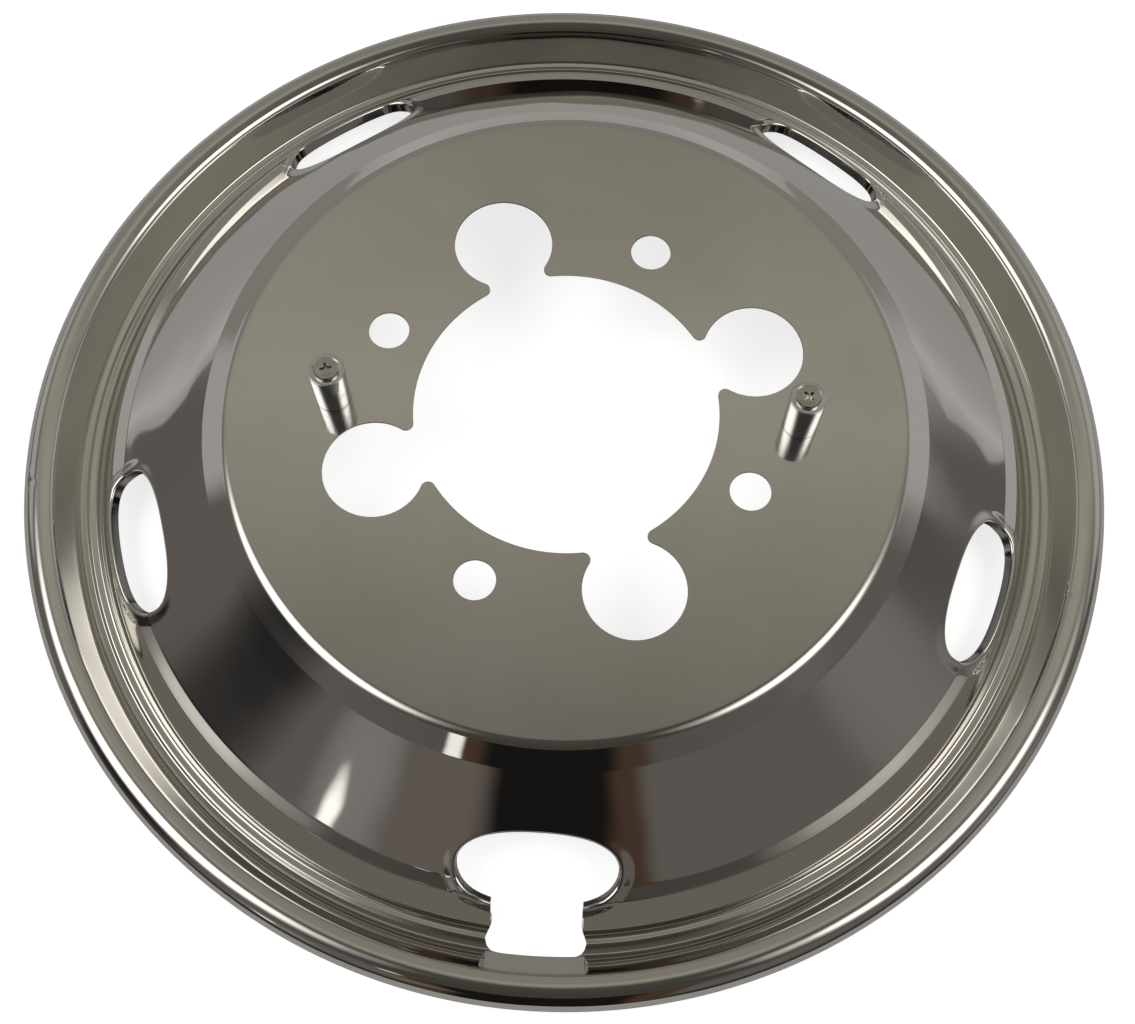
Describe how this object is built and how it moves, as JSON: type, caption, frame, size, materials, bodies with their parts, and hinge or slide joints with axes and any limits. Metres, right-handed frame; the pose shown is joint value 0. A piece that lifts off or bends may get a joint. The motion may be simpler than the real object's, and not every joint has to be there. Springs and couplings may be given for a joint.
{
  "type": "wheel simulator",
  "caption": "Round polished wheel cover with a stepped rim, hand holes in its cone, a valve notch and two cap posts with screws.",
  "frame": {"origin": "centre of the rim ledge's underside, on which the cover lies", "axes": "+Z along the wheel's axis towards the street side, -Y towards the valve notch"},
  "size_m": [0.4672, 0.4672, 0.0794],
  "materials": {
    "polished_steel": "mirror-polished stainless steel, worn to satin on the front plate",
    "post_metal": "turned steel, bright plated",
    "screw_metal": "plated steel, a little worn"
  },
  "bodies": {
    "root": {"wheel_cover": "polished_steel", "left_post": "post_metal", "right_post": "post_metal", "left_screw": "screw_metal", "right_screw": "screw_metal"}
  },
  "joints": []
}
